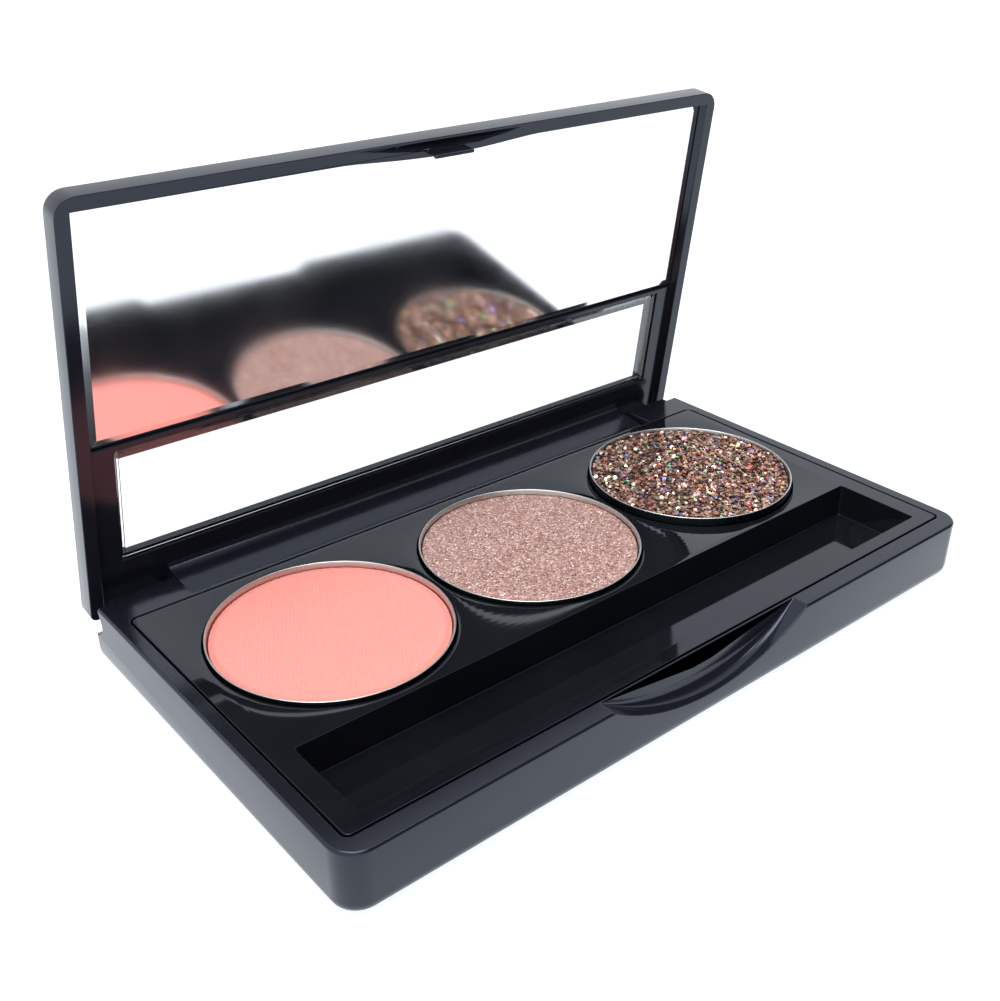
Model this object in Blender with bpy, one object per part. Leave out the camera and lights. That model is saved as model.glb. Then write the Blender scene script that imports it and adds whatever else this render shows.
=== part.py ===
"""Eyeshadow palette with three pans, a brush well, a mirrored lid and a see-through window.

Units are metres. X runs along the palette, the thumb notch is at -Y and the hinge at +Y.
The origin is the middle of the flat underside. The lid stands open, as it rests on display.
The lid's pieces are modelled closed, around an empty on the hinge axis that tips them back.
"""

import math

import bmesh
import bpy

MM = 0.001

# Base shell
BASE_WIDTH = 89.0 * MM
BASE_DEPTH = 50.0 * MM
BASE_HEIGHT = 7.3 * MM
BASE_CORNER = 2.8 * MM
BASE_REAR_CORNER = 0.5 * MM
BASE_DRAFT = 0.2 * MM
BASE_FILLET = 1.5 * MM
BASE_FLOOR = 1.2 * MM
RIM_EDGE = 0.2 * MM
CORNER_STEPS = 8

# Pocket in the base, and the tray that drops into it
POCKET_HALF_WIDTH = 42.9 * MM
POCKET_FRONT = -22.75 * MM
POCKET_REAR = 19.05 * MM
POCKET_CORNER = 0.9 * MM
TRAY_GAP = 0.25 * MM
TRAY_BOTTOM = 2.3 * MM
TRAY_SKIN = 1.1 * MM
TRAY_WALL = 0.9 * MM
POST_RADIUS = 1.5 * MM
POST_TOP = 2.15 * MM

# Pans
PAN_PITCH = 27.2 * MM
PAN_ROW = 4.2 * MM
PAN_RADIUS = 13.0 * MM
PAN_HEIGHT = 3.6 * MM
PAN_SHEET = 0.3 * MM
PAN_BEAD = 0.12 * MM
PAN_STEPS = 72
WELL_RADIUS = 13.2 * MM
WELL_FLOOR = 3.5 * MM
COUNTERSINK = 0.6 * MM
COUNTERSINK_DEPTH = 0.12 * MM
CAKE_GAP = 0.15 * MM
GLUE_RADIUS = 11.0 * MM
GLUE_GAP = 0.12 * MM
PANS = (
    ("coral", -1, 0.30 * MM, 0.45 * MM),
    ("rose", 0, 0.35 * MM, 0.45 * MM),
    ("glitter", 1, 0.90 * MM, 0.20 * MM),
)

# Brush well
BRUSH_HALF_WIDTH = 40.2 * MM
BRUSH_FRONT = -20.75 * MM
BRUSH_REAR = -10.1 * MM
BRUSH_DEPTH = 4.1 * MM
BRUSH_CORNER = 0.3 * MM

# Thumb notch and latch slot
NOTCH_HALF_CHORD = 14.5 * MM
NOTCH_DEPTH = 4.43 * MM
NOTCH_WALL = -23.0 * MM
NOTCH_DIP = 0.05 * MM
NOTCH_FILLET = 1.5 * MM
NOTCH_STATIONS = 25
SLOT_HALF_WIDTH = 1.3 * MM
SLOT_LOW = 5.45 * MM
SLOT_HIGH = 6.1 * MM

# Hinge
HINGE_Y = 22.9 * MM
HINGE_Z = 4.8 * MM
OPEN_ANGLE = math.radians(82.0)
CAVITY_RADIUS = 3.4 * MM
CAVITY_HALF_WIDTH = 35.2 * MM
RAIL_HALF_WIDTH = 34.9 * MM
RAIL_FRONT = 2.0 * MM
RAIL_REAR = 2.1 * MM
RAIL_REACH = 3.1 * MM
RAIL_CORNER = 1.5 * MM
EAR_START = 42.6 * MM
SHOULDER_RADIUS = 1.6 * MM
PIN_RADIUS = 0.6 * MM
PIN_HOLE_RADIUS = 0.75 * MM
PIN_INNER = 30.7 * MM
PIN_OUTER = 39.4 * MM
PIN_END_GAP = 0.2 * MM

# Lid, in heights above the rim's closed contact plane
LID_GAP = 0.15 * MM
LID_HALF_WIDTH = 44.4 * MM
LID_THICKNESS = 3.0 * MM
LID_FRONT = 47.85 * MM
LID_END = -1.0 * MM
LID_CORNER = 2.1 * MM
LID_REAR_CORNER = 0.8 * MM
LID_EDGE = 0.6 * MM
LID_RIM = 1.55 * MM
LID_RECESS = 0.9 * MM
FACE = BASE_HEIGHT + LID_GAP - HINGE_Z

# Mirror, in distances from the hinge axis towards the lid's front edge
MIRROR_LOW = 19.75 * MM
MIRROR_RECESS = 1.1 * MM
MIRROR_GLASS = 0.8 * MM
MIRROR_POCKET = 2.3 * MM
MIRROR_SIDE_GAP = 0.12 * MM
MIRROR_BEVEL = 1.0 * MM
MIRROR_BEVEL_DROP = 0.2 * MM
ADHESIVE_INSET = 2.0 * MM

# Window
PANE_HALF_WIDTH = 40.0 * MM
PANE_LOW = 5.2 * MM
PANE_HIGH = 19.05 * MM
PANE_RECESS = 0.95 * MM
PANE_THICKNESS = 1.0 * MM
PANE_GAP = 0.1 * MM
OPENING_HALF_WIDTH = 39.3 * MM
OPENING_LOW = 5.4 * MM
OPENING_HIGH = 17.6 * MM

# Grip groove and latch hook on the lid's front edge
GROOVE_HALF_CHORD = 11.4 * MM
GROOVE_TOP = 47.5 * MM
GROOVE_DROP = 1.05 * MM
GROOVE_DEPTH = 0.85 * MM
GROOVE_FLOOR_SHARE = 0.12
BULGE_HALF_WIDTH = 13.5 * MM
BULGE_DROP = 0.65 * MM
BULGE_THICKNESS = 0.85 * MM
HOOK_HALF_WIDTH = 2.6 * MM
HOOK_LOW = 46.15 * MM
HOOK_THICKNESS = 0.35 * MM
HOOK_REACH = 1.8 * MM
HOOK_BEAD = 0.15 * MM


def clear_scene():
    for old in list(bpy.data.objects):
        bpy.data.objects.remove(old, do_unlink=True)


def material(name, color, roughness, metallic=0.0, transmission=0.0):
    made = bpy.data.materials.new(name)
    made.use_nodes = True
    shader = made.node_tree.nodes["Principled BSDF"]
    shader.inputs["Base Color"].default_value = (*color, 1.0)
    shader.inputs["Roughness"].default_value = roughness
    shader.inputs["Metallic"].default_value = metallic
    shader.inputs["Transmission Weight"].default_value = transmission
    made.diffuse_color = (*color, 1.0)
    return made


def add_object(name, bm, made_of=None, parent=None):
    """Turns a bmesh into an object, facing out and shaded smooth with sharp edges kept."""
    bmesh.ops.recalc_face_normals(bm, faces=bm.faces)
    mesh = bpy.data.meshes.new(name)
    bm.to_mesh(mesh)
    bm.free()
    mesh.shade_smooth()
    mesh.set_sharp_from_angle(angle=math.radians(30.0))
    made = bpy.data.objects.new(name, mesh)
    bpy.context.collection.objects.link(made)
    if made_of:
        mesh.materials.append(made_of)
    if parent:
        made.parent = parent
    return made


def arc(center, radius, start, end, steps):
    """Points on a circle, angles in degrees, both ends included."""
    points = []
    for step in range(steps + 1):
        angle = math.radians(start + (end - start) * step / steps)
        points.append((center[0] + radius * math.cos(angle), center[1] + radius * math.sin(angle)))
    return points


def rounded_rectangle(x_low, x_high, y_low, y_high, radius, rear_radius=None, steps=CORNER_STEPS):
    """Outline of a rectangle with round corners, anticlockwise. Its rear corners may differ."""
    rear = rear_radius or radius
    corners = (
        (x_high - radius, y_low + radius, radius, -90.0),
        (x_high - rear, y_high - rear, rear, 0.0),
        (x_low + rear, y_high - rear, rear, 90.0),
        (x_low + radius, y_low + radius, radius, 180.0),
    )
    outline = []
    for x, y, turn, start in corners:
        outline += arc((x, y), turn, start, start + 90.0, steps)
    return outline


def loft(rings):
    """A closed solid through rings of 3-D points, each ring with the same number of them."""
    bm = bmesh.new()
    rows = [[bm.verts.new(point) for point in ring] for ring in rings]
    count = len(rows[0])
    for lower, upper in zip(rows, rows[1:]):
        for index in range(count):
            after = (index + 1) % count
            bm.faces.new((lower[index], lower[after], upper[after], upper[index]))
    bm.faces.new(rows[0][::-1])
    bm.faces.new(rows[-1])
    return bm


def prism_z(outline, low, high):
    """A solid with an X-Y outline, between two heights."""
    return loft([[(x, y, z) for x, y in outline] for z in (low, high)])


def prism_x(outline, low, high):
    """A solid with a Y-Z outline, between two places along X."""
    return loft([[(x, y, z) for y, z in outline] for x in (low, high)])


def box(x_low, x_high, y_low, y_high, z_low, z_high):
    corners = [(x_low, y_low), (x_high, y_low), (x_high, y_high), (x_low, y_high)]
    return prism_z(corners, z_low, z_high)


def circle(center, radius, steps):
    return arc(center, radius, 0.0, 360.0 * (steps - 1) / steps, steps - 1)


def lathe(profile, center, steps):
    """Turns a closed profile of (radius, height) points round a vertical axis."""
    bm = bmesh.new()
    rows = []
    for radius, z in profile:
        if radius == 0.0:
            rows.append([bm.verts.new((center[0], center[1], z))] * steps)
        else:
            rows.append([bm.verts.new((x, y, z)) for x, y in circle(center, radius, steps)])
    for lower, upper in zip(rows, rows[1:]):
        for index in range(steps):
            after = (index + 1) % steps
            corners = (lower[index], lower[after], upper[after], upper[index])
            bm.faces.new(list(dict.fromkeys(corners)))
    return bm


def modify(target, tool_name, bm, operation, parent=None):
    """Cuts or joins a helper solid, which stays in the file as a hidden wire object."""
    tool = add_object(tool_name, bm, parent=parent)
    tool.hide_render = True
    tool.display_type = "WIRE"
    change = target.modifiers.new(tool_name, "BOOLEAN")
    change.object = tool
    change.operation = operation
    change.solver = "EXACT"
    return tool


def inset_rings(x_half, y_low, y_high, corner, rear_corner, levels):
    """Rounded rectangles at (height, inset) levels."""
    rings = []
    for z, inset in levels:
        outline = rounded_rectangle(
            -x_half + inset,
            x_half - inset,
            y_low + inset,
            y_high - inset,
            corner - inset * 0.5,
            rear_corner - inset * 0.3,
        )
        rings.append([(x, y, z) for x, y in outline])
    return rings


def fillet_levels(radius, steps, base_inset, height, rising):
    """(height, inset) levels of a quarter round, from the flat face to the side or back."""
    levels = []
    for step in range(steps + 1):
        angle = math.radians(90.0 * step / steps)
        inset = base_inset + radius * (1.0 - math.sin(angle))
        drop = radius * (1.0 - math.cos(angle))
        levels.append((height + drop if rising else height - drop, inset))
    return levels


def pan_center(column):
    return (column * PAN_PITCH, PAN_ROW)


def base_blank():
    levels = fillet_levels(BASE_FILLET, 5, BASE_DRAFT, 0.0, True)
    levels.append((BASE_HEIGHT - RIM_EDGE, 0.0))
    levels.append((BASE_HEIGHT, RIM_EDGE))
    half_depth = BASE_DEPTH / 2.0
    half_width = BASE_WIDTH / 2.0
    return loft(inset_rings(half_width, -half_depth, half_depth, BASE_CORNER, BASE_REAR_CORNER, levels))


def notch_floor(x):
    """Height of the thumb notch's lip at a place along the front wall."""
    radius = (NOTCH_HALF_CHORD**2 + NOTCH_DEPTH**2) / (2.0 * NOTCH_DEPTH)
    return BASE_HEIGHT - NOTCH_DEPTH + radius - math.sqrt(radius**2 - x**2)


def notch_section(x):
    """Y-Z outline of the notch: back wall, hollow corner, and floor out past the front."""
    top = BASE_HEIGHT + 1.0 * MM
    out = -BASE_DEPTH / 2.0 - 1.0 * MM
    lip = notch_floor(x)
    share = max(0.0, BASE_HEIGHT - lip) / NOTCH_DEPTH
    floor = lip - NOTCH_DIP * share
    fillet = max(0.1 * MM, NOTCH_FILLET * share)
    outline = [(out, top), (NOTCH_WALL, top)]
    outline += arc((NOTCH_WALL - fillet, floor + fillet), fillet, 0.0, -90.0, 6)
    outline.append((-BASE_DEPTH / 2.0, lip))
    outline.append((out, lip))
    return [(x, y, z) for y, z in outline]


def notch_cutter():
    reach = NOTCH_HALF_CHORD + 0.3 * MM
    places = [reach * math.sin(math.pi * (step / (NOTCH_STATIONS - 1) - 0.5)) for step in range(NOTCH_STATIONS)]
    return loft([notch_section(x) for x in places])


def cavity_outline():
    """Y-Z outline of the hinge cavity, round where the lid's rail swings."""
    rear = BASE_DEPTH / 2.0 + 2.0 * MM
    top = BASE_HEIGHT + 2.0 * MM
    outline = [(rear, top), (HINGE_Y - CAVITY_RADIUS, top)]
    outline += arc((HINGE_Y, HINGE_Z), CAVITY_RADIUS, 180.0, 270.0, 8)
    outline.append((rear, HINGE_Z - CAVITY_RADIUS))
    return outline


def shoulder_relief_outline():
    """Y-Z outline of what is taken off to round the rear top edge between the cavity and the ears."""
    rear = BASE_DEPTH / 2.0
    outline = [(rear + 1.0 * MM, BASE_HEIGHT + 1.0 * MM), (rear - SHOULDER_RADIUS, BASE_HEIGHT + 1.0 * MM)]
    outline += arc((rear - SHOULDER_RADIUS, BASE_HEIGHT - SHOULDER_RADIUS), SHOULDER_RADIUS, 90.0, 0.0, 6)
    outline.append((rear + 1.0 * MM, BASE_HEIGHT - SHOULDER_RADIUS))
    return outline


def ear_relief_outline():
    """Y-Z outline of what is taken off behind the side walls: a horn above, a hollow, a heel below."""
    rear = BASE_DEPTH / 2.0 + 2.0 * MM
    top = BASE_HEIGHT + 0.5 * MM
    horn = HINGE_Y + 0.2 * MM
    outline = [(horn, top), (horn, HINGE_Z + 2.2 * MM)]
    outline += arc((HINGE_Y + 1.6 * MM, HINGE_Z + 0.5 * MM), 1.9 * MM, 150.0, 262.0, 6)
    outline += arc((BASE_DEPTH / 2.0 - 0.6 * MM, HINGE_Z - 2.0 * MM), 0.6 * MM, 90.0, 0.0, 3)
    outline += [(rear, HINGE_Z - 2.0 * MM), (rear, top)]
    return outline


def pin_solid(radius, inner, outer):
    """A round bar along X on the hinge axis."""
    return prism_x(circle((HINGE_Y, HINGE_Z), radius, 24), inner, outer)


def make_base(plastic):
    base = add_object("base_shell", base_blank(), plastic)
    pocket = rounded_rectangle(
        -POCKET_HALF_WIDTH, POCKET_HALF_WIDTH, POCKET_FRONT, POCKET_REAR, POCKET_CORNER
    )
    above = BASE_HEIGHT + 1.0 * MM
    modify(base, "cut_pocket", prism_z(pocket, BASE_FLOOR, above), "DIFFERENCE")
    cavity = prism_x(cavity_outline(), -CAVITY_HALF_WIDTH, CAVITY_HALF_WIDTH)
    modify(base, "cut_cavity", cavity, "DIFFERENCE")
    modify(base, "cut_notch", notch_cutter(), "DIFFERENCE")
    slot = box(
        -SLOT_HALF_WIDTH,
        SLOT_HALF_WIDTH,
        NOTCH_WALL - 0.5 * MM,
        POCKET_FRONT + 0.5 * MM,
        SLOT_LOW,
        SLOT_HIGH,
    )
    modify(base, "cut_slot", slot, "DIFFERENCE")
    far = BASE_WIDTH / 2.0 + 1.0 * MM
    for side, name in ((-1, "left"), (1, "right")):
        low, high = sorted((side * (CAVITY_HALF_WIDTH - 1.0 * MM), side * (EAR_START + 0.1 * MM)))
        modify(base, "cut_shoulder_" + name, prism_x(shoulder_relief_outline(), low, high), "DIFFERENCE")
        low, high = sorted((side * EAR_START, side * far))
        modify(base, "cut_ear_" + name, prism_x(ear_relief_outline(), low, high), "DIFFERENCE")
        low, high = sorted((side * (CAVITY_HALF_WIDTH - 1.0 * MM), side * (PIN_OUTER + PIN_END_GAP)))
        hole = pin_solid(PIN_HOLE_RADIUS, low, high)
        modify(base, "cut_pin_hole_" + name, hole, "DIFFERENCE")
    brush_middle = (BRUSH_FRONT + BRUSH_REAR) / 2.0
    for column in (-1, 0, 1):
        for row, y in (("rear", PAN_ROW), ("front", brush_middle)):
            outline = circle((column * PAN_PITCH, y), POST_RADIUS, 16)
            post = prism_z(outline, BASE_FLOOR - 0.5 * MM, POST_TOP)
            modify(base, f"post_{row}_{column + 2}", post, "UNION")


def make_tray(plastic):
    """A moulded tray: a top skin and a skirt, with three cups and the brush well hanging from it."""
    half = POCKET_HALF_WIDTH - TRAY_GAP
    front = POCKET_FRONT + TRAY_GAP
    rear = POCKET_REAR - TRAY_GAP
    outline = rounded_rectangle(-half, half, front, rear, POCKET_CORNER - TRAY_GAP)
    tray = add_object("tray_insert", prism_z(outline, TRAY_BOTTOM, BASE_HEIGHT), plastic)
    core = rounded_rectangle(
        -half + TRAY_WALL, half - TRAY_WALL, front + TRAY_WALL, rear - TRAY_WALL, 0.5 * MM
    )
    hollow = prism_z(core, TRAY_BOTTOM - 1.0 * MM, BASE_HEIGHT - TRAY_SKIN)
    modify(tray, "cut_underside", hollow, "DIFFERENCE")
    skin_middle = BASE_HEIGHT - TRAY_SKIN / 2.0
    for name, column, _, _ in PANS:
        cup = prism_z(circle(pan_center(column), WELL_RADIUS + TRAY_WALL, PAN_STEPS), TRAY_BOTTOM, skin_middle)
        modify(tray, "cup_" + name, cup, "UNION")
    trough = box(
        -BRUSH_HALF_WIDTH - TRAY_WALL,
        BRUSH_HALF_WIDTH + TRAY_WALL,
        BRUSH_FRONT - TRAY_WALL,
        BRUSH_REAR + 0.7 * MM,
        TRAY_BOTTOM,
        skin_middle,
    )
    modify(tray, "trough", trough, "UNION")
    above = BASE_HEIGHT + 1.0 * MM
    for name, column, _, _ in PANS:
        profile = [
            (0.0, above),
            (WELL_RADIUS + COUNTERSINK, above),
            (WELL_RADIUS + COUNTERSINK, BASE_HEIGHT),
            (WELL_RADIUS, BASE_HEIGHT - COUNTERSINK_DEPTH),
            (WELL_RADIUS, WELL_FLOOR),
            (0.0, WELL_FLOOR),
        ]
        modify(tray, "cut_well_" + name, lathe(profile, pan_center(column), PAN_STEPS), "DIFFERENCE")
    well = rounded_rectangle(
        -BRUSH_HALF_WIDTH, BRUSH_HALF_WIDTH, BRUSH_FRONT, BRUSH_REAR, BRUSH_CORNER, steps=3
    )
    trough_cut = prism_z(well, BASE_HEIGHT - BRUSH_DEPTH, above)
    modify(tray, "cut_brush_well", trough_cut, "DIFFERENCE")


def pan_profile(low, high):
    """Half section of a pressed tin pan with a small rolled bead at its mouth."""
    inner = PAN_RADIUS - PAN_SHEET
    return [
        (0.0, low),
        (PAN_RADIUS - 0.4 * MM, low),
        (PAN_RADIUS - 0.1 * MM, low + 0.12 * MM),
        (PAN_RADIUS, low + 0.4 * MM),
        (PAN_RADIUS, high - PAN_BEAD),
        (PAN_RADIUS - PAN_SHEET * 0.5, high),
        (inner, high - PAN_BEAD),
        (inner, low + PAN_SHEET),
        (0.0, low + PAN_SHEET),
    ]


def cake_profile(low, high):
    radius = PAN_RADIUS - PAN_SHEET - CAKE_GAP
    return [(0.0, low), (radius, low), (radius, high - 0.1 * MM), (radius - 0.1 * MM, high), (0.0, high)]


def make_pan(name, column, proud, sunk, metal, glue, cake_material):
    center = pan_center(column)
    high = BASE_HEIGHT + proud
    low = high - PAN_HEIGHT
    add_object("pan_" + name, lathe(pan_profile(low, high), center, PAN_STEPS), metal)
    cake_low = low + PAN_SHEET + CAKE_GAP
    cake_name = "cake_glitter" if name == "glitter" else "powder_" + name
    cake = lathe(cake_profile(cake_low, high - sunk), center, PAN_STEPS)
    add_object(cake_name, cake, cake_material)
    pad = prism_z(circle(center, GLUE_RADIUS, 36), WELL_FLOOR + GLUE_GAP, low - GLUE_GAP)
    add_object("glue_pad_" + name, pad, glue)


def make_pins(steel):
    for side, name in ((-1, "left"), (1, "right")):
        low, high = sorted((side * PIN_INNER, side * PIN_OUTER))
        add_object("hinge_pin_" + name, pin_solid(PIN_RADIUS, low, high), steel)


def make_hinge_empty():
    hinge = bpy.data.objects.new("lid_hinge", None)
    hinge.location = (0.0, HINGE_Y, HINGE_Z)
    hinge.rotation_euler = (-OPEN_ANGLE, 0.0, 0.0)
    bpy.context.collection.objects.link(hinge)
    return hinge


def lid_box(half_width, low, high, bottom, top):
    """A box on the lid: distances from the axis towards the front, depths above the face."""
    return box(-half_width, half_width, -high, -low, FACE + bottom, FACE + top)


def lid_blank():
    levels = [(FACE, 0.0)]
    levels += reversed(fillet_levels(LID_EDGE, 4, 0.0, FACE + LID_THICKNESS, False))
    return loft(inset_rings(LID_HALF_WIDTH, -LID_FRONT, -LID_END, LID_CORNER, LID_REAR_CORNER, levels))


def rail_outline():
    """Y-Z outline of the hinge rail, hanging from the lid into the base's cavity."""
    front = -RAIL_FRONT
    rear = RAIL_REAR
    floor = FACE + LID_RECESS
    back = FACE + LID_THICKNESS
    round_top = 2.2 * MM
    outline = [(front - 1.0 * MM, floor + 0.3 * MM), (front - 1.0 * MM, floor)]
    outline += arc((front - 1.0 * MM, floor - 1.0 * MM), 1.0 * MM, 90.0, 0.0, 4)[1:]
    outline += arc((front + RAIL_CORNER, -RAIL_REACH + RAIL_CORNER), RAIL_CORNER, 180.0, 270.0, 5)
    outline += arc((rear - RAIL_CORNER, -RAIL_REACH + RAIL_CORNER), RAIL_CORNER, 270.0, 360.0, 5)
    outline += arc((rear - round_top, back - round_top), round_top, 0.0, 90.0, 5)
    outline.append((-LID_END - 1.5 * MM, back))
    outline.append((-LID_END - 1.5 * MM, floor + 0.3 * MM))
    return outline


def groove_ring(depth):
    """The crescent groove's outline at a depth below the face. Its inner wall slopes outwards."""
    share = 1.0 - (1.0 - GROOVE_FLOOR_SHARE) * depth / GROOVE_DEPTH
    drop = GROOVE_DROP * share
    half_chord = GROOVE_HALF_CHORD * math.sqrt(share)
    radius = (half_chord**2 + drop**2) / (2.0 * drop)
    half_angle = math.degrees(math.asin(half_chord / radius))
    center = (0.0, -(GROOVE_TOP - drop + radius))
    outline = arc(center, radius, 90.0 + half_angle, 90.0 - half_angle, 20)
    return [(x, y, FACE + depth) for x, y in outline]


def bulge_outline():
    """X-Y outline of the swelling behind the groove, which carries the hook."""
    top = LID_FRONT - LID_RIM
    outline = [(BULGE_HALF_WIDTH, -top - 0.3 * MM), (-BULGE_HALF_WIDTH, -top - 0.3 * MM)]
    for step in range(17):
        share = step / 8.0 - 1.0
        outline.append((BULGE_HALF_WIDTH * share, -top + BULGE_DROP * (1.0 - share**2) ** 1.5))
    return outline


def hook_outline():
    """Y-Z outline of the latch hook, with its bead towards the hinge."""
    low = -HOOK_LOW
    high = -HOOK_LOW - HOOK_THICKNESS
    tip = FACE - HOOK_REACH
    return [
        (high, FACE + 0.3 * MM),
        (high, tip + 0.15 * MM),
        (high + 0.1 * MM, tip),
        (low - 0.05 * MM, tip),
        (low + HOOK_BEAD, tip + 0.3 * MM),
        (low + HOOK_BEAD, tip + 0.45 * MM),
        (low, tip + 0.75 * MM),
        (low, FACE + 0.3 * MM),
    ]


def make_lid(hinge, plastic):
    lid = add_object("lid_frame", lid_blank(), plastic, hinge)
    inner = LID_HALF_WIDTH - LID_RIM
    top = LID_FRONT - LID_RIM
    below = -1.0 * MM
    recess = lid_box(inner, -5.0 * MM, top, below, LID_RECESS)
    modify(lid, "cut_recess", recess, "DIFFERENCE", hinge)
    pocket = lid_box(inner, MIRROR_LOW, top, below, MIRROR_POCKET)
    modify(lid, "cut_mirror_pocket", pocket, "DIFFERENCE", hinge)
    seat = lid_box(
        PANE_HALF_WIDTH + PANE_GAP,
        PANE_LOW - PANE_GAP,
        PANE_HIGH + PANE_GAP,
        below,
        PANE_RECESS + PANE_THICKNESS + PANE_GAP,
    )
    modify(lid, "cut_window_seat", seat, "DIFFERENCE", hinge)
    through = lid_box(OPENING_HALF_WIDTH, OPENING_LOW, OPENING_HIGH, below, LID_THICKNESS + 1.0 * MM)
    modify(lid, "cut_window", through, "DIFFERENCE", hinge)
    groove = loft([groove_ring(-0.3 * MM), groove_ring(GROOVE_DEPTH)])
    modify(lid, "cut_grip_groove", groove, "DIFFERENCE", hinge)
    bulge = prism_z(bulge_outline(), FACE, FACE + BULGE_THICKNESS)
    modify(lid, "add_bulge", bulge, "UNION", hinge)
    hook = prism_x(hook_outline(), -HOOK_HALF_WIDTH, HOOK_HALF_WIDTH)
    modify(lid, "add_hook", hook, "UNION", hinge)
    rail = prism_x(rail_outline(), -RAIL_HALF_WIDTH, RAIL_HALF_WIDTH)
    modify(lid, "add_rail", rail, "UNION", hinge)
    for side, name in ((-1, "left"), (1, "right")):
        low, high = sorted((side * (PIN_INNER - PIN_END_GAP), side * (RAIL_HALF_WIDTH + 1.0 * MM)))
        bore = prism_x(circle((0.0, 0.0), PIN_HOLE_RADIUS, 24), low, high)
        modify(lid, "cut_bore_" + name, bore, "DIFFERENCE", hinge)


def make_mirror(hinge, glass, glue):
    half = LID_HALF_WIDTH - LID_RIM - MIRROR_SIDE_GAP
    low = MIRROR_LOW + MIRROR_SIDE_GAP
    high = LID_FRONT - LID_RIM - MIRROR_SIDE_GAP
    front = FACE + MIRROR_RECESS
    back = front + MIRROR_GLASS
    rings = []
    for z, inset in ((front, MIRROR_BEVEL), (front + MIRROR_BEVEL_DROP, 0.0), (back, 0.0)):
        corners = (
            (-half + inset, -high + inset),
            (half - inset, -high + inset),
            (half - inset, -low - inset),
            (-half + inset, -low - inset),
        )
        rings.append([(x, y, z) for x, y in corners])
    add_object("mirror_glass", loft(rings), glass, hinge)
    sheet = lid_box(
        half - ADHESIVE_INSET,
        low + ADHESIVE_INSET,
        high - ADHESIVE_INSET,
        MIRROR_RECESS + MIRROR_GLASS + 0.1 * MM,
        MIRROR_POCKET - 0.1 * MM,
    )
    add_object("mirror_adhesive", sheet, glue, hinge)


def make_window(hinge, clear):
    pane = lid_box(PANE_HALF_WIDTH, PANE_LOW, PANE_HIGH, PANE_RECESS, PANE_RECESS + PANE_THICKNESS)
    add_object("window_pane", pane, clear, hinge)


def main():
    clear_scene()
    satin = material("satin_black_plastic", (0.035, 0.037, 0.042), 0.38)
    gloss = material("gloss_black_plastic", (0.02, 0.021, 0.024), 0.12)
    metal = material("tin_pan", (0.72, 0.71, 0.69), 0.3, metallic=1.0)
    glue = material("adhesive_foam", (0.8, 0.8, 0.78), 0.9)
    steel = material("pin_steel", (0.6, 0.6, 0.6), 0.3, metallic=1.0)
    mirror = material("mirror", (0.92, 0.92, 0.92), 0.02, metallic=1.0)
    clear = material("clear_pane", (1.0, 1.0, 1.0), 0.03, transmission=1.0)
    cakes = {
        "coral": material("coral_powder", (0.9, 0.4, 0.33), 0.9),
        "rose": material("rose_shimmer", (0.62, 0.42, 0.38), 0.5),
        "glitter": material("copper_glitter", (0.4, 0.26, 0.21), 0.35, metallic=0.5),
    }
    make_base(satin)
    make_tray(gloss)
    for name, column, proud, sunk in PANS:
        make_pan(name, column, proud, sunk, metal, glue, cakes[name])
    make_pins(steel)
    hinge = make_hinge_empty()
    make_lid(hinge, satin)
    make_mirror(hinge, mirror, glue)
    make_window(hinge, clear)


main()
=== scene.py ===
import math

import bmesh
import bpy
import numpy as np
from mathutils import Matrix, Vector
from mathutils.bvhtree import BVHTree


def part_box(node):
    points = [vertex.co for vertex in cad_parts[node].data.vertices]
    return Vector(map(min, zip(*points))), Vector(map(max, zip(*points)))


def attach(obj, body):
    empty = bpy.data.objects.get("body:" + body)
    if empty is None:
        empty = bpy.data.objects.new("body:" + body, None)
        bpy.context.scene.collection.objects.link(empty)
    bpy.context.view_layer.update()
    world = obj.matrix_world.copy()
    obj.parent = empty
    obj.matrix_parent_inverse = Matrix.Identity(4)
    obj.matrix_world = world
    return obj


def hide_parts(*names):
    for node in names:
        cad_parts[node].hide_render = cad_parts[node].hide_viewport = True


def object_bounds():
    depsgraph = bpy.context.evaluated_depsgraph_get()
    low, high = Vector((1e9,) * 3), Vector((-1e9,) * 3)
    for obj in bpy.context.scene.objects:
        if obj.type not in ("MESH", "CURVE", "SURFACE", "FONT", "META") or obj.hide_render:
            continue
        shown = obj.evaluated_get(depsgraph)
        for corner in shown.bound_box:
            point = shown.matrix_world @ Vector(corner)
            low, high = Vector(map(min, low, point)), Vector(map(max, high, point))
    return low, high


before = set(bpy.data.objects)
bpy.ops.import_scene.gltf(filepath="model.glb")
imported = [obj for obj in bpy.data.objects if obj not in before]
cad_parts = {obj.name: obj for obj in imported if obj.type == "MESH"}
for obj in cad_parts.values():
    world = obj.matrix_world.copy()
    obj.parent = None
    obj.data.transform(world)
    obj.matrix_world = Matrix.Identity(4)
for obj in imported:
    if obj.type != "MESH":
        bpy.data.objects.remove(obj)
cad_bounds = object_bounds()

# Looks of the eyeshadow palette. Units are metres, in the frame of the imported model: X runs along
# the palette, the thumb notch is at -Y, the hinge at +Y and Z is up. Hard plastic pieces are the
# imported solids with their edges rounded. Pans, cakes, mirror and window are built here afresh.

MM = 0.001

# Camera
CAMERA_AZIMUTH = math.radians(-40.54)
CAMERA_ELEVATION = math.radians(23.8)
CAMERA_ROLL = math.radians(0.46)
CAMERA_DISTANCE = 134.0 * MM
CAMERA_TARGET = Vector((-4.2, 0.0, 27.83)) * MM
CAMERA_SENSOR = 36.0
CAMERA_LENS = 45.45
CAMERA_SHIFT = (-0.0272, -0.0974)

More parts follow.
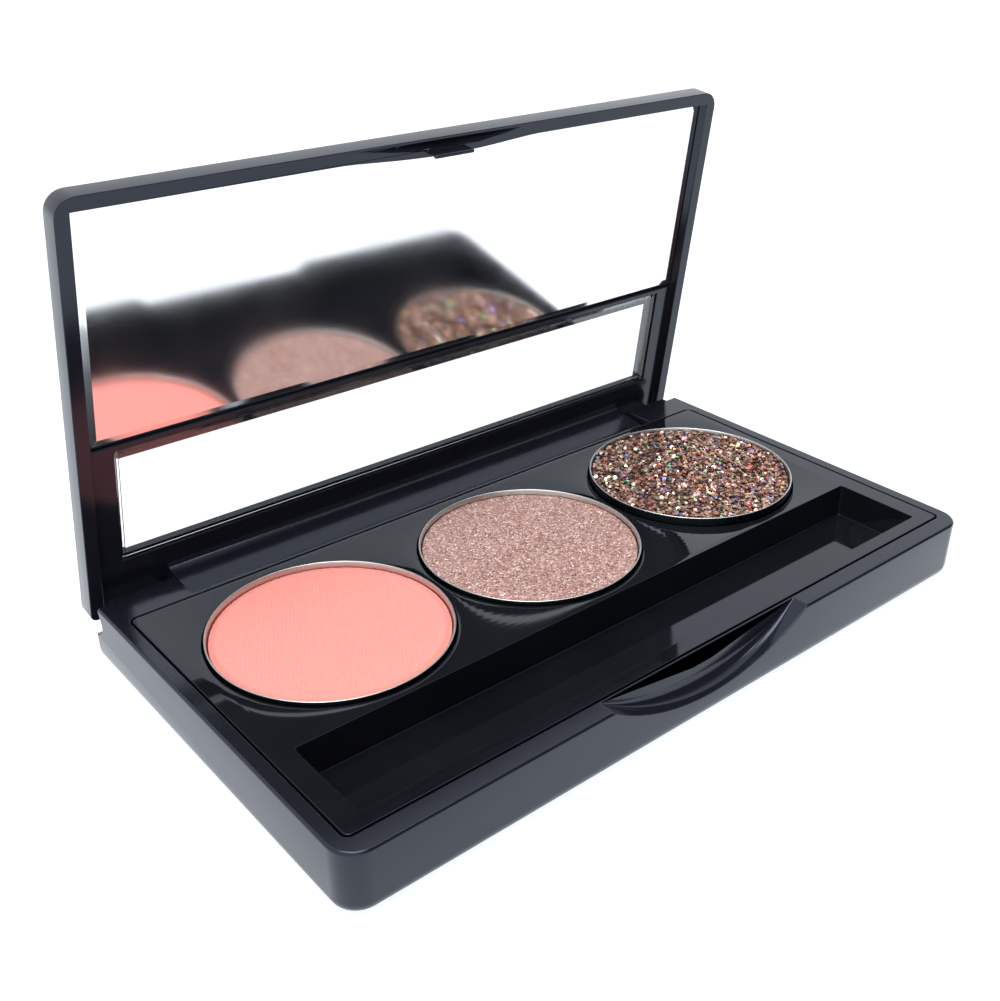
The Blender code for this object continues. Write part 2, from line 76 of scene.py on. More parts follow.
# Moulded pieces: how far their edges are rounded, and how their faces are joined up first
SHELL_EDGE = 0.10 * MM
TRAY_EDGE = 0.07 * MM
LID_EDGE = 0.09 * MM
EDGE_ANGLE = math.radians(32.0)
MERGE_DISTANCE = 0.002 * MM
FLAT_ANGLE = math.radians(0.6)
STRAY_SHARE = 0.6

# Pans
PAN_STEPS = 180
PAN_SHEET = 0.26 * MM
PAN_BEAD = 0.1 * MM
PAN_FOOT = 0.4 * MM

# Cakes
CAKE_GRID = 230
WAVE_COUNT = 40
CORAL_SHOULDER = 0.75 * MM
CORAL_FALL = 0.2 * MM
RIB_PITCH = 0.40 * MM
RIB_HEIGHT = 0.016 * MM
RIB_ANGLE = math.radians(59.0)
ROSE_GRAIN = 0.022 * MM
ROSE_TOP_DROP = 0.06 * MM
ROSE_GROOVE_INSET = 1.1 * MM
ROSE_GROOVE_WIDTH = 0.28 * MM
ROSE_GROOVE_DEPTH = 0.11 * MM
ROSE_SHOULDER = 0.45 * MM
ROSE_FALL = 0.12 * MM

# Glitter
BED_DROP = 0.35 * MM
BED_LUMP_SIZE = 1.2 * MM
BED_LUMP_HEIGHT = 0.09 * MM
BED_SHOULDER = 0.5 * MM
BED_FALL = 0.1 * MM
FLAKE_COUNT = 9000
FLAKE_SIDES = 6
FLAKE_RADIUS = (0.15 * MM, 0.29 * MM)
FLAKE_LIFT = (0.02 * MM, 0.24 * MM)
FLAKE_TILT = 0.55
FLAKE_MARGIN = 0.1 * MM

# Mirror and window
MIRROR_BEVEL = 1.0 * MM
MIRROR_BEVEL_DROP = 0.22 * MM
PANE_BEVEL = 0.3 * MM
PLATE_CORNER = 0.25 * MM
PLATE_LEAST_CORNER = 0.05 * MM
PLATE_CORNER_STEPS = 4
PLATE_LIP_INSET = 0.02 * MM
PLATE_LIP_DROP = 0.03 * MM

# Studio
FLOOR_HALF = 3.0
FLOOR_GAP = 0.05 * MM
OVERHEAD_PLACE = (-0.12, -0.05, 0.75)
OVERHEAD_SIZE = (0.5, 0.5)
OVERHEAD_POWER = 4.4
FRONT_LAMP_PLACE = (0.189, -0.284, 0.502)
FRONT_LAMP_SIZE = (0.065, 0.05)
FRONT_LAMP_POWER = 0.1
LAMPS_AIM = (0.0, 0.0, 0.01)
ROOM_DARK_TOWARD = (0.56, -0.80, 0.22)
ROOM_DARK_EDGES = (0.55, 0.85)
ROOM_DARK_STRENGTH = 0.06

random = np.random.default_rng(7)


# ---------------------------------------------------------------- mesh helpers


def link_mesh(name, mesh, material):
    piece = bpy.data.objects.new(name, mesh)
    bpy.context.scene.collection.objects.link(piece)
    mesh.materials.clear()
    mesh.materials.append(material)
    return piece


def mesh_from(name, points, faces, smooth_angle=30.0):
    mesh = bpy.data.meshes.new(name)
    mesh.from_pydata([tuple(point) for point in points], [], faces)
    mesh.validate()
    bm = bmesh.new()
    bm.from_mesh(mesh)
    bmesh.ops.recalc_face_normals(bm, faces=bm.faces)
    bm.to_mesh(mesh)
    bm.free()
    mesh.shade_smooth()
    mesh.set_sharp_from_angle(angle=math.radians(smooth_angle))
    return mesh


def place(piece, body, slot_name, *nodes):
    """Puts a finished piece on its body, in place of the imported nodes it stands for."""
    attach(piece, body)
    if nodes:
        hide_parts(*nodes)
    return piece


def middle_of(node):
    low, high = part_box(node)
    return (low + high) / 2.0


def moulded_copy(node, name, edge, material):
    """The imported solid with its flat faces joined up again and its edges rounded."""
    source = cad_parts[node]
    mesh = source.data.copy()
    mesh.name = name
    mesh.attributes.remove(mesh.attributes["custom_normal"])
    bm = bmesh.new()
    bm.from_mesh(mesh)
    bmesh.ops.remove_doubles(bm, verts=bm.verts, dist=MERGE_DISTANCE)
    bmesh.ops.dissolve_limit(
        bm, angle_limit=FLAT_ANGLE, verts=bm.verts, edges=bm.edges, delimit={"NORMAL"}
    )
    bm.to_mesh(mesh)
    bm.free()
    mesh.shade_smooth()
    piece = link_mesh(name, mesh, material)
    bevel = piece.modifiers.new("edges", "BEVEL")
    bevel.width = edge
    bevel.segments = 2
    bevel.limit_method = "ANGLE"
    bevel.angle_limit = EDGE_ANGLE
    bevel.use_clamp_overlap = False
    bevel.harden_normals = True
    pull_back_strays(piece, source, edge * STRAY_SHARE)
    return piece


def pull_back_strays(piece, source, reach):
    """Applies the rounding, and moves points that it threw off at tight corners back onto the solid."""
    graph = bpy.context.evaluated_depsgraph_get()
    rounded = bpy.data.meshes.new_from_object(piece.evaluated_get(graph))
    corners = [vertex.co for vertex in source.data.vertices]
    solid = BVHTree.FromPolygons(corners, [polygon.vertices[:] for polygon in source.data.polygons])
    for vertex in rounded.vertices:
        spot, _, _, distance = solid.find_nearest(vertex.co)
        if distance > reach:
            vertex.co = spot
    piece.modifiers.clear()
    piece.data = rounded


# ---------------------------------------------------------------- material helpers


class Shader:
    """A Principled material whose nodes are added one call at a time."""

    def __init__(self, name, color, roughness, metallic=0.0):
        self.material = bpy.data.materials.new(name)
        self.material.use_nodes = True
        self.tree = self.material.node_tree
        self.principled = self.tree.nodes["Principled BSDF"]
        self.set("Base Color", (*color, 1.0))
        self.set("Roughness", roughness)
        self.set("Metallic", metallic)
        self.place = self.add("ShaderNodeTexCoord").outputs["Object"]

    def add(self, kind, **settings):
        node = self.tree.nodes.new(kind)
        for key, value in settings.items():
            setattr(node, key, value)
        return node

    def set(self, socket, value):
        self.principled.inputs[socket].default_value = value

    def link(self, source, target):
        self.tree.links.new(source, target)

    def noise(self, size, detail=3.0, stretch=None):
        """Noise whose blobs are about this large, in metres."""
        where = self.place
        if stretch:
            mapping = self.add("ShaderNodeMapping")
            mapping.inputs["Scale"].default_value = stretch
            self.link(where, mapping.inputs["Vector"])
            where = mapping.outputs["Vector"]
        node = self.add("ShaderNodeTexNoise")
        node.inputs["Scale"].default_value = 1.0 / size
        node.inputs["Detail"].default_value = detail
        self.link(where, node.inputs["Vector"])
        return node.outputs["Fac"]

    def cells(self, size):
        """Random cells about this large: their distance field and their random colour."""
        node = self.add("ShaderNodeTexVoronoi")
        node.inputs["Scale"].default_value = 1.0 / size
        self.link(self.place, node.inputs["Vector"])
        return node

    def spread(self, value, low, high, out_low, out_high):
        node = self.add("ShaderNodeMapRange")
        node.inputs["From Min"].default_value = low
        node.inputs["From Max"].default_value = high
        node.inputs["To Min"].default_value = out_low
        node.inputs["To Max"].default_value = out_high
        self.link(value, node.inputs["Value"])
        return node.outputs["Result"]

    def ramp(self, value, stops, steps=False):
        node = self.add("ShaderNodeValToRGB")
        if steps:
            node.color_ramp.interpolation = "CONSTANT"
        elements = node.color_ramp.elements
        while len(elements) < len(stops):
            elements.new(0.5)
        for element, (position, color) in zip(elements, stops):
            element.position = position
            element.color = (*color, 1.0)
        self.link(value, node.inputs["Fac"])
        return node.outputs["Color"]

    def bump(self, height, strength, distance):
        node = self.add("ShaderNodeBump")
        node.inputs["Strength"].default_value = strength
        node.inputs["Distance"].default_value = distance
        self.link(height, node.inputs["Height"])
        self.link(node.outputs["Normal"], self.principled.inputs["Normal"])

    def vary(self, socket, output):
        self.link(output, self.principled.inputs[socket])


def shell_plastic():
    """Satin blue-black moulded plastic, with a faint grain and slightly uneven gloss."""
    shader = Shader("shell_plastic", (0.009, 0.0095, 0.0135), 0.15)
    shader.set("IOR", 1.5)
    stops = [(0.3, (0.008, 0.0085, 0.0125)), (0.7, (0.0105, 0.011, 0.0155))]
    shader.vary("Base Color", shader.ramp(shader.noise(9.0 * MM, 2.0), stops))
    shader.set("Specular Tint", (0.72, 0.82, 1.0, 1.0))
    shader.vary("Roughness", shader.spread(shader.noise(6.0 * MM, 2.0), 0.3, 0.7, 0.13, 0.17))
    shader.bump(shader.noise(0.12 * MM, 2.0), 0.12, 0.01 * MM)
    return shader.material


def tray_plastic():
    """Glossier black plastic of the drop-in tray."""
    shader = Shader("tray_plastic", (0.006, 0.0065, 0.009), 0.05)
    shader.set("IOR", 1.5)
    shader.set("Specular Tint", (0.8, 0.88, 1.0, 1.0))
    stops = [(0.3, (0.005, 0.0058, 0.008)), (0.7, (0.0075, 0.0078, 0.0105))]
    shader.vary("Base Color", shader.ramp(shader.noise(7.0 * MM, 2.0), stops))
    shader.vary("Roughness", shader.spread(shader.noise(6.0 * MM, 2.0), 0.3, 0.7, 0.035, 0.06))
    return shader.material


def pan_metal():
    """Pressed, faintly brushed tinplate; the outer wall has a painted reflection of the dark tray."""
    shader = Shader("pan_metal", (0.6, 0.59, 0.57), 0.3, 1.0)
    wall = shader.add("ShaderNodeVertexColor", layer_name="wall")
    # The near-black stop is a painted reflection of the dark tray on the outside of the wall.
    stops = [(0.3, (0.6, 0.59, 0.57)), (0.7, (0.03, 0.04, 0.045))]
    shader.vary("Base Color", shader.ramp(wall.outputs["Color"], stops))
    shader.vary("Roughness", shader.spread(shader.noise(0.4 * MM, 3.0), 0.3, 0.7, 0.25, 0.4))
    shader.bump(shader.noise(0.25 * MM, 2.0, (1.0, 1.0, 6.0)), 0.08, 0.01 * MM)
    return shader.material


def pin_steel():
    """Drawn steel, its fine lines running along the pin."""
    shader = Shader("pin_steel_drawn", (0.62, 0.62, 0.63), 0.3, 1.0)
    shader.bump(shader.noise(0.2 * MM, 3.0, (0.1, 1.0, 1.0)), 0.1, 0.01 * MM)
    return shader.material


def adhesive():
    """Off-white adhesive foam, with small cells."""
    shader = Shader("adhesive_foam", (0.78, 0.77, 0.72), 0.9)
    stops = [(0.35, (0.7, 0.69, 0.64)), (0.65, (0.82, 0.81, 0.77))]
    shader.vary("Base Color", shader.ramp(shader.noise(0.6 * MM), stops))
    shader.bump(shader.cells(0.3 * MM).outputs["Distance"], 0.4, 0.05 * MM)
    return shader.material


def coral_powder():
    """Matte pressed coral powder: fine crumbs, deeper colour where the shoulder falls away."""
    shader = Shader("coral_pressed", (0.93, 0.38, 0.31), 0.85)
    crumbs = shader.noise(0.22 * MM, 5.0)
    fine = shader.ramp(crumbs, [(0.32, (0.87, 0.28, 0.235)), (0.62, (0.93, 0.32, 0.27))])
    edge = shader.add("ShaderNodeVertexColor", layer_name="shade")
    mix = shader.add("ShaderNodeMix", data_type="RGBA")
    shader.link(edge.outputs["Color"], mix.inputs["Factor"])
    shader.link(fine, mix.inputs["A"])
    mix.inputs["B"].default_value = (0.82, 0.27, 0.22, 1.0)
    shader.vary("Base Color", mix.outputs["Result"])
    shader.set("Specular IOR Level", 0.25)
    shader.set("Sheen Weight", 0.15)
    shader.bump(crumbs, 0.3, 0.03 * MM)
    return shader.material


def rose_shimmer():
    """Rose-mauve powder with pearl grains that each catch the light their own way."""
    shader = Shader("rose_pressed", (0.5, 0.31, 0.28), 0.4, 0.35)
    grain = shader.cells(0.17 * MM)
    split = shader.add("ShaderNodeSeparateColor")
    shader.link(grain.outputs["Color"], split.inputs["Color"])
    stops = [
        (0.0, (0.26, 0.13, 0.115)),
        (0.35, (0.46, 0.245, 0.205)),
        (0.8, (0.59, 0.35, 0.295)),
        (0.95, (0.85, 0.7, 0.64)),
    ]
    shader.vary("Base Color", shader.ramp(split.outputs["Red"], stops))
    shader.vary("Metallic", shader.spread(split.outputs["Green"], 0.5, 0.9, 0.1, 0.9))
    shader.vary("Roughness", shader.spread(split.outputs["Blue"], 0.0, 1.0, 0.22, 0.6))
    shader.bump(split.outputs["Green"], 0.6, 0.05 * MM)
    return shader.material


def glitter_bed():
    """The dark brown binder under the flakes."""
    shader = Shader("glitter_bed", (0.12, 0.06, 0.045), 0.5, 0.3)
    stops = [(0.3, (0.06, 0.03, 0.022)), (0.7, (0.2, 0.11, 0.085))]
    shader.vary("Base Color", shader.ramp(shader.noise(0.3 * MM), stops))
    shader.bump(shader.noise(0.3 * MM, 4.0), 0.5, 0.1 * MM)
    return shader.material


def glitter_flakes():
    """Copper-brown metallised flakes, a few of them throwing rainbow colours."""
    shader = Shader("glitter_flakes", (0.5, 0.33, 0.26), 0.22, 0.9)
    kind = shader.add("ShaderNodeVertexColor", layer_name="kind")
    split = shader.add("ShaderNodeSeparateColor")
    shader.link(kind.outputs["Color"], split.inputs["Color"])
    stops = [
        (0.00, (0.20, 0.105, 0.08)),
        (0.22, (0.41, 0.22, 0.165)),
        (0.50, (0.60, 0.385, 0.29)),
        (0.74, (0.75, 0.58, 0.48)),
        (0.87, (0.95, 0.45, 0.22)),
        (0.90, (0.90, 0.16, 0.14)),
        (0.925, (0.30, 0.85, 0.40)),
        (0.95, (0.25, 0.40, 0.95)),
        (0.97, (0.60, 0.38, 0.95)),
        (0.985, (0.98, 0.95, 0.75)),
    ]
    shader.vary("Base Color", shader.ramp(split.outputs["Red"], stops, steps=True))
    shader.vary("Roughness", shader.spread(split.outputs["Green"], 0.0, 1.0, 0.15, 0.45))
    return shader.material


def mirror_silver():
    """Silvered glass under a faintly textured film, which softens what is far from it."""
    shader = Shader("mirror_silver", (0.93, 0.94, 0.95), 0.085, 1.0)
    shader.vary("Roughness", shader.spread(shader.noise(6.0 * MM, 2.0), 0.3, 0.7, 0.075, 0.095))
    return shader.material


def clear_plastic():
    """Clear acrylic, with a trace of haze."""
    shader = Shader("clear_pane", (0.97, 0.985, 0.98), 0.02)
    shader.set("Transmission Weight", 1.0)
    shader.set("IOR", 1.49)
    shader.vary("Roughness", shader.spread(shader.noise(8.0 * MM, 2.0), 0.3, 0.7, 0.0, 0.03))
    return shader.material


def floor_paper():
    """White paper that glows a little, so that it stays white under the object too."""
    shader = Shader("floor_paper", (0.25, 0.25, 0.25), 0.8)
    shader.set("Emission Color", (0.88, 0.93, 1.0, 1.0))
    shader.set("Emission Strength", 1.0)
    return shader.material


# ---------------------------------------------------------------- pieces


def lathe(name, profile, center, material):
    """Turns a half section of (radius, height) points, which starts and ends on the axis."""
    points = [(center.x, center.y, profile[0][1])]
    for radius, height in profile[1:-1]:
        for step in range(PAN_STEPS):
            angle = 2.0 * math.pi * step / PAN_STEPS
            x = center.x + radius * math.cos(angle)
            y = center.y + radius * math.sin(angle)
            points.append((x, y, height))
    points.append((center.x, center.y, profile[-1][1]))
    faces = []
    rows = len(profile) - 2
    for step in range(PAN_STEPS):
        after = (step + 1) % PAN_STEPS
        faces.append((0, 1 + after, 1 + step))
        last = 1 + (rows - 1) * PAN_STEPS
        faces.append((len(points) - 1, last + step, last + after))
        for row in range(rows - 1):
            lower = 1 + row * PAN_STEPS
            upper = lower + PAN_STEPS
            faces.append((lower + step, lower + after, upper + after, upper + step))
    return link_mesh(name, mesh_from(name, points, faces), material)


def quarter(radius, center_radius, center_height, start, end, steps=5):
    """Points of an arc in the half section, angles in degrees from straight out."""
    points = []
    for step in range(steps + 1):
        angle = math.radians(start + (end - start) * step / steps)
        out = center_radius + radius * math.cos(angle)
        points.append((out, center_height + radius * math.sin(angle)))
    return points


def make_pan(name, material):
    """A thin pressed pan: rounded foot, straight wall, a small bead round its rim."""
    low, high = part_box("pan_" + name)
    radius = (high.x - low.x) / 2.0
    profile = [(0.0, low.z)]
    profile += quarter(PAN_FOOT, radius - PAN_FOOT, low.z + PAN_FOOT, -90.0, 0.0)
    profile += quarter(PAN_BEAD, radius - PAN_BEAD, high.z - PAN_BEAD, 0.0, 180.0, 8)
    profile.append((radius - PAN_SHEET, high.z - 2.5 * PAN_BEAD))
    inner_foot = PAN_FOOT - PAN_SHEET * 0.5
    floor = low.z + PAN_SHEET
    inner_radius = radius - PAN_SHEET - inner_foot
    profile += quarter(inner_foot, inner_radius, floor + inner_foot, 0.0, -90.0)
    profile.append((0.0, floor))
    center = middle_of("pan_" + name)
    piece = lathe("tin_" + name, profile, center, material)
    mark_painted_dark_wall(piece, center, radius, high.z)
    return place(piece, "base", "pan_metal", "pan_" + name)


def mark_painted_dark_wall(piece, center, radius, top):
    """Paints the layer that says where the painted dark reflection goes: the outside, up to the bead."""
    layer = piece.data.color_attributes.new("wall", "FLOAT_COLOR", "POINT")
    for vertex, value in zip(piece.data.vertices, layer.data):
        outward = math.hypot(vertex.co.x - center.x, vertex.co.y - center.y) - radius
        outside = outward > -0.25 * PAN_BEAD
        below_bead = vertex.co.z < top - PAN_BEAD * 0.5
        amount = 1.0 if outside and below_bead else 0.0
        value.color = (amount, amount, amount, amount)


def disc_grid(count):
    """A square grid bent to the unit disc, spacing nearly even: (count * count, 2) places."""
    line = np.linspace(-1.0, 1.0, count)
    u, v = np.meshgrid(line, line)
    wide = np.abs(u) > np.abs(v)
    reach = np.where(wide, u, v)
    other = np.where(wide, v, u)
    turn = (math.pi / 4.0) * np.divide(other, reach, out=np.zeros_like(other), where=reach != 0.0)
    x = np.where(wide, reach * np.cos(turn), reach * np.sin(turn))
    y = np.where(wide, reach * np.sin(turn), reach * np.cos(turn))
    return np.stack([x.ravel(), y.ravel()], axis=1)


def soft_noise(places, size, seed):
    """Smooth random heights from -1 to 1: a sum of waves about this long, in many directions."""
    waves = np.random.default_rng(seed)
    total = np.zeros(len(places))
    for _ in range(WAVE_COUNT):
        angle = waves.uniform(0.0, 2.0 * math.pi)
        length = size * waves.uniform(0.7, 1.8)
        direction = np.array([math.cos(angle), math.sin(angle)]) * (2.0 * math.pi / length)
        total += np.sin(places @ direction + waves.uniform(0.0, 2.0 * math.pi))
    return total / math.sqrt(WAVE_COUNT)


def shoulder(distance, start, width):
    """0 up on the cake, rising smoothly to 1 over the width of its shoulder."""
    share = np.clip((distance - start) / width, 0.0, 1.0)
    return share * share * (3.0 - 2.0 * share)


def make_cake(name, node, heights, material, slot_name):
    """A pressed cake: a fine top surface given by heights(), down to the pan's floor."""
    low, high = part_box(node)
    center = (low + high) / 2.0
    radius = (high.x - low.x) / 2.0
    places = disc_grid(CAKE_GRID) * radius
    drop, shade = heights(places, radius)
    top = [(center.x + x, center.y + y, high.z + z) for (x, y), z in zip(places, drop)]
    faces = []
    for row in range(CAKE_GRID - 1):
        for column in range(CAKE_GRID - 1):
            corner = row * CAKE_GRID + column
            faces.append((corner, corner + 1, corner + CAKE_GRID + 1, corner + CAKE_GRID))
    last = CAKE_GRID - 1
    rim = list(range(last))
    rim += [row * CAKE_GRID + last for row in range(last)]
    rim += [last * CAKE_GRID + column for column in range(last, 0, -1)]
    rim += [row * CAKE_GRID for row in range(last, 0, -1)]
    first = len(top)
    under = [(top[index][0], top[index][1], low.z) for index in rim]
    for step in range(len(rim)):
        after = (step + 1) % len(rim)
        faces.append((rim[after], rim[step], first + step, first + after))
    faces.append(tuple(range(first, first + len(rim))))
    mesh = mesh_from(name, top + under, faces, 50.0)
    layer = mesh.color_attributes.new("shade", "FLOAT_COLOR", "POINT")
    values = np.concatenate([shade, np.ones(len(under))])
    layer.data.foreach_set("color", np.repeat(values, 4).astype(np.float32))
    piece = link_mesh(name, mesh, material)
    return place(piece, "base", slot_name, node)


def coral_heights(places, radius):
    """Fine straight ribs from the press, and a crumbly shoulder that falls away at the rim."""
    distance = np.linalg.norm(places, axis=1)
    ragged = soft_noise(places, 0.9 * MM, 3) * 0.06 * MM
    fall = shoulder(distance + ragged, radius - CORAL_SHOULDER, CORAL_SHOULDER * 0.7)
    across = places @ np.array([-math.sin(RIB_ANGLE), math.cos(RIB_ANGLE)])
    wander = soft_noise(places, 9.0 * MM, 5) * 0.05 * MM
    ribs = np.cos(2.0 * math.pi * (across + wander) / RIB_PITCH) * RIB_HEIGHT * (1.0 - fall)
    crumbs = soft_noise(places, 0.45 * MM, 8) * (0.004 * MM + 0.025 * MM * fall)
    return ribs + crumbs - RIB_HEIGHT - CORAL_FALL * fall, fall


def rose_heights(places, radius):
    """A grainy shimmer cake with a shallow pressed groove just inside the rim."""
    distance = np.linalg.norm(places, axis=1)
    ragged = soft_noise(places, 1.1 * MM, 13) * 0.08 * MM
    from_groove = distance + ragged - radius + ROSE_GROOVE_INSET
    groove = np.exp(-((from_groove / ROSE_GROOVE_WIDTH) ** 2))
    fall = shoulder(distance + ragged, radius - ROSE_SHOULDER, 0.4 * MM)
    grain = soft_noise(places, 0.3 * MM, 17) * ROSE_GRAIN
    swell = soft_noise(places, 3.0 * MM, 19) * 0.02 * MM
    return grain + swell - ROSE_TOP_DROP - ROSE_GROOVE_DEPTH * groove - ROSE_FALL * fall, fall


def bed_lumps(places):
    return soft_noise(places, BED_LUMP_SIZE, 23) * BED_LUMP_HEIGHT


def bed_heights(places, radius):
    """The lumpy bed that the loose-looking glitter is pressed into."""
    distance = np.linalg.norm(places, axis=1)
    fall = shoulder(distance, radius - BED_SHOULDER, BED_SHOULDER)
    return bed_lumps(places) - BED_DROP - BED_FALL * fall, fall


def make_flakes(node, material):
    """Six-sided flakes strewn over the bed, each tilted its own way."""
    low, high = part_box(node)
    center = (low + high) / 2.0
    reach = (high.x - low.x) / 2.0 - FLAKE_MARGIN
    distance = reach * np.sqrt(random.uniform(0.0, 1.0, FLAKE_COUNT))
    turn = random.uniform(0.0, 2.0 * math.pi, FLAKE_COUNT)
    places = np.stack([distance * np.cos(turn), distance * np.sin(turn)], axis=1)
    lift = random.uniform(*FLAKE_LIFT, FLAKE_COUNT)
    height = high.z - BED_DROP + bed_lumps(places) + lift
    points = []
    faces = []
    kinds = []
    for index in range(FLAKE_COUNT):
        radius = random.uniform(*FLAKE_RADIUS)
        tilt = Matrix.Rotation(abs(random.normal(0.0, FLAKE_TILT)), 3, "X")
        spin = Matrix.Rotation(random.uniform(0.0, 2.0 * math.pi), 3, "Z")
        twist = Matrix.Rotation(random.uniform(0.0, 2.0 * math.pi), 3, "Z")
        pose = spin @ tilt @ twist
        x, y = places[index]
        middle = Vector((center.x + x, center.y + y, height[index]))
        start = len(points)
        for side in range(FLAKE_SIDES):
            angle = 2.0 * math.pi * side / FLAKE_SIDES
            corner = Vector((radius * math.cos(angle), radius * math.sin(angle), 0.0))
            points.append(tuple(middle + pose @ corner))
        faces.append(tuple(range(start, start + FLAKE_SIDES)))
        kinds += [(random.uniform(), random.uniform(), 0.0, 1.0)] * FLAKE_SIDES
    mesh = bpy.data.meshes.new("glitter_flakes")
    mesh.from_pydata(points, [], faces)
    layer = mesh.color_attributes.new("kind", "FLOAT_COLOR", "POINT")
    layer.data.foreach_set("color", np.array(kinds, np.float32).ravel())
    piece = link_mesh("glitter_flakes", mesh, material)
    return place(piece, "base", "copper_glitter", node)


def lid_axes():
    """The lid's own directions at rest: across, up its face, and out through its back."""
    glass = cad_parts["mirror_glass"].data
    largest = max(glass.polygons, key=lambda polygon: polygon.area)
    back = Vector(largest.normal)
    if back.y < 0.0:
        back = -back
    across = Vector((1.0, 0.0, 0.0))
    return across, across.cross(back), back


def rounded_outline(left, right, bottom, top, radius):
    """Places round a rectangle with rounded corners, from its lower right corner on."""
    corners = (
        (right - radius, bottom + radius, -90.0),
        (right - radius, top - radius, 0.0),
        (left + radius, top - radius, 90.0),
        (left + radius, bottom + radius, 180.0),
    )
    places = []
    for x, y, start in corners:
        for step in range(PLATE_CORNER_STEPS + 1):
            angle = math.radians(start + 90.0 * step / PLATE_CORNER_STEPS)
            places.append((x + radius * math.cos(angle), y + radius * math.sin(angle)))
    return places


def plate(name, node, material, bevel, drop):
    """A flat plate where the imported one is, with a sloping border on its front face."""
    across, up, back = lid_axes()
    coordinates = [vertex.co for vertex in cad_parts[node].data.vertices]
    u = [point.dot(across) for point in coordinates]
    v = [point.dot(up) for point in coordinates]
    n = [point.dot(back) for point in coordinates]
    front = min(n)
    levels = (
        (front, bevel),
        (front + drop, PLATE_LIP_INSET),
        (front + drop + PLATE_LIP_DROP, 0.0),
        (max(n), 0.0),
    )
    rings = []
    for depth, inset in levels:
        radius = max(PLATE_CORNER - inset * 0.5, PLATE_LEAST_CORNER)
        outline = rounded_outline(min(u) + inset, max(u) - inset, min(v) + inset, max(v) - inset, radius)
        rings.append([across * x + up * y + back * depth for x, y in outline])
    count = len(rings[0])
    points = [point for ring in rings for point in ring]
    faces = [tuple(range(count)), tuple(range(len(points) - count, len(points)))]
    for row in range(len(rings) - 1):
        for step in range(count):
            after = (step + 1) % count
            lower = row * count
            upper = lower + count
            faces.append((lower + step, lower + after, upper + after, upper + step))
    mesh = mesh_from(name, points, faces, 8.0)
    return link_mesh(name, mesh, material)


# ---------------------------------------------------------------- stage


def make_camera():
    toward = Vector(
        (
            math.sin(CAMERA_AZIMUTH) * math.cos(CAMERA_ELEVATION),
            -math.cos(CAMERA_AZIMUTH) * math.cos(CAMERA_ELEVATION),
            math.sin(CAMERA_ELEVATION),
        )
    )
    data = bpy.data.cameras.new("camera")
    data.sensor_fit = "HORIZONTAL"
    data.sensor_width = CAMERA_SENSOR
    data.lens = CAMERA_LENS
    data.shift_x, data.shift_y = CAMERA_SHIFT
    data.clip_start = 5.0 * MM
    data.clip_end = 20.0
    camera = bpy.data.objects.new("camera", data)
    bpy.context.scene.collection.objects.link(camera)
    level = toward.to_track_quat("Z", "Y").to_matrix().to_4x4()
    roll = Matrix.Rotation(CAMERA_ROLL, 4, "Z")
    camera.matrix_world = Matrix.Translation(CAMERA_TARGET + toward * CAMERA_DISTANCE) @ level @ roll
    bpy.context.scene.camera = camera


def make_floor():
    low = cad_bounds[0][2] - FLOOR_GAP
    corners = ((-1, -1), (1, -1), (1, 1), (-1, 1))
    points = [(FLOOR_HALF * x, FLOOR_HALF * y, low) for x, y in corners]
    floor = link_mesh("floor", mesh_from("floor", points, [(0, 1, 2, 3)]), floor_paper())


def make_softbox(name, place_at, size, power):
    """A rectangular lamp that faces the object."""
    data = bpy.data.lights.new(name, "AREA")
    data.shape = "RECTANGLE"
    data.size, data.size_y = size
    data.energy = power
    lamp = bpy.data.objects.new(name, data)
    bpy.context.scene.collection.objects.link(lamp)
    lamp.location = place_at
    toward_lamp = Vector(place_at) - Vector(LAMPS_AIM)
    lamp.rotation_euler = toward_lamp.to_track_quat("Z", "Y").to_euler()


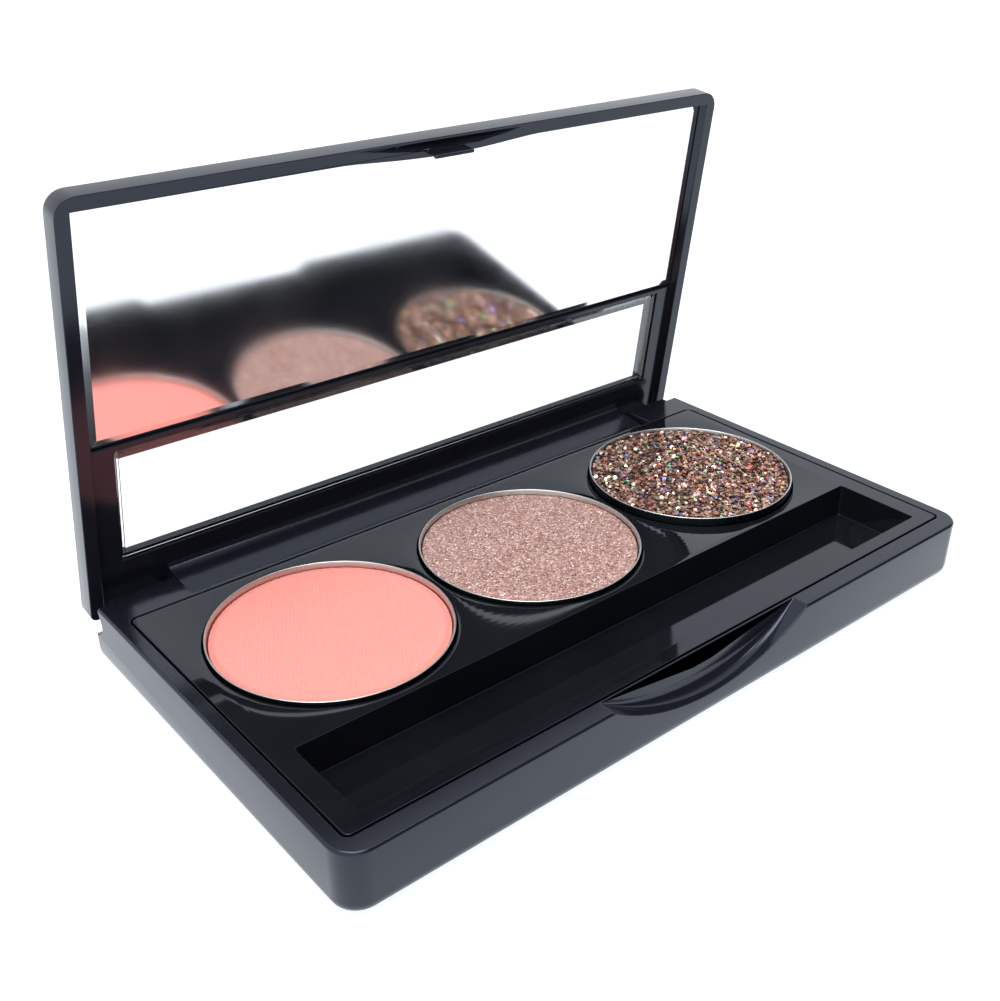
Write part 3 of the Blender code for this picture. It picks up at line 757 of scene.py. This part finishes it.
def make_surroundings():
    """Faintly blue white studio walls, with a dark stretch in front and to the right."""
    world = bpy.data.worlds.new("studio")
    world.use_nodes = True
    bpy.context.scene.world = world
    tree = world.node_tree
    background = tree.nodes["Background"]
    where = tree.nodes.new("ShaderNodeTexCoord")
    dot = tree.nodes.new("ShaderNodeVectorMath")
    dot.operation = "DOT_PRODUCT"
    dot.inputs[1].default_value = ROOM_DARK_TOWARD
    shade = tree.nodes.new("ShaderNodeMapRange")
    shade.interpolation_type = "SMOOTHSTEP"
    shade.inputs["From Min"].default_value = ROOM_DARK_EDGES[0]
    shade.inputs["From Max"].default_value = ROOM_DARK_EDGES[1]
    shade.inputs["To Min"].default_value = 1.0
    shade.inputs["To Max"].default_value = ROOM_DARK_STRENGTH
    tree.links.new(where.outputs["Generated"], dot.inputs[0])
    tree.links.new(dot.outputs["Value"], shade.inputs["Value"])
    tree.links.new(shade.outputs["Result"], background.inputs["Strength"])
    background.inputs["Color"].default_value = (1.0, 1.03, 1.09, 1.0)


def make_lights():
    """A broad overhead softbox, and a small weak lamp in front."""
    make_softbox("softbox_overhead", OVERHEAD_PLACE, OVERHEAD_SIZE, OVERHEAD_POWER)
    make_softbox("lamp_front", FRONT_LAMP_PLACE, FRONT_LAMP_SIZE, FRONT_LAMP_POWER)


# ---------------------------------------------------------------- assembly


def main():
    scene = bpy.context.scene
    scene.view_settings.view_transform = "Standard"
    make_camera()
    make_floor()
    make_surroundings()
    make_lights()

    shell = shell_plastic()
    metal = pan_metal()
    base = moulded_copy("base_shell", "shell_moulding", SHELL_EDGE, shell)
    place(base, "base", "satin_black", "base_shell")
    tray = moulded_copy("tray_insert", "tray_moulding", TRAY_EDGE, tray_plastic())
    place(tray, "base", "gloss_black", "tray_insert")
    lid = moulded_copy("lid_frame", "lid_moulding", LID_EDGE, shell)
    place(lid, "lid", "satin_black", "lid_frame")

    for name in ("coral", "rose", "glitter"):
        make_pan(name, metal)
    make_cake("coral_cake", "powder_coral", coral_heights, coral_powder(), "coral_powder")
    make_cake("rose_cake", "powder_rose", rose_heights, rose_shimmer(), "rose_powder")
    make_cake("glitter_cake_bed", "cake_glitter", bed_heights, glitter_bed(), "copper_glitter")
    make_flakes("cake_glitter", glitter_flakes())

    silver = mirror_silver()
    mirror = plate("mirror_plate", "mirror_glass", silver, MIRROR_BEVEL, MIRROR_BEVEL_DROP)
    place(mirror, "lid", "mirror", "mirror_glass")
    pane = plate("window_plate", "window_pane", clear_plastic(), PANE_BEVEL, PANE_BEVEL * 0.5)
    place(pane, "lid", "clear", "window_pane")

    foam = adhesive()
    steel = pin_steel()
    for node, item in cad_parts.items():
        if node.startswith("glue_pad") or node == "mirror_adhesive":
            item.data.materials.clear()
            item.data.materials.append(foam)
        elif node.startswith("hinge_pin"):
            item.data.materials.clear()
            item.data.materials.append(steel)


main()
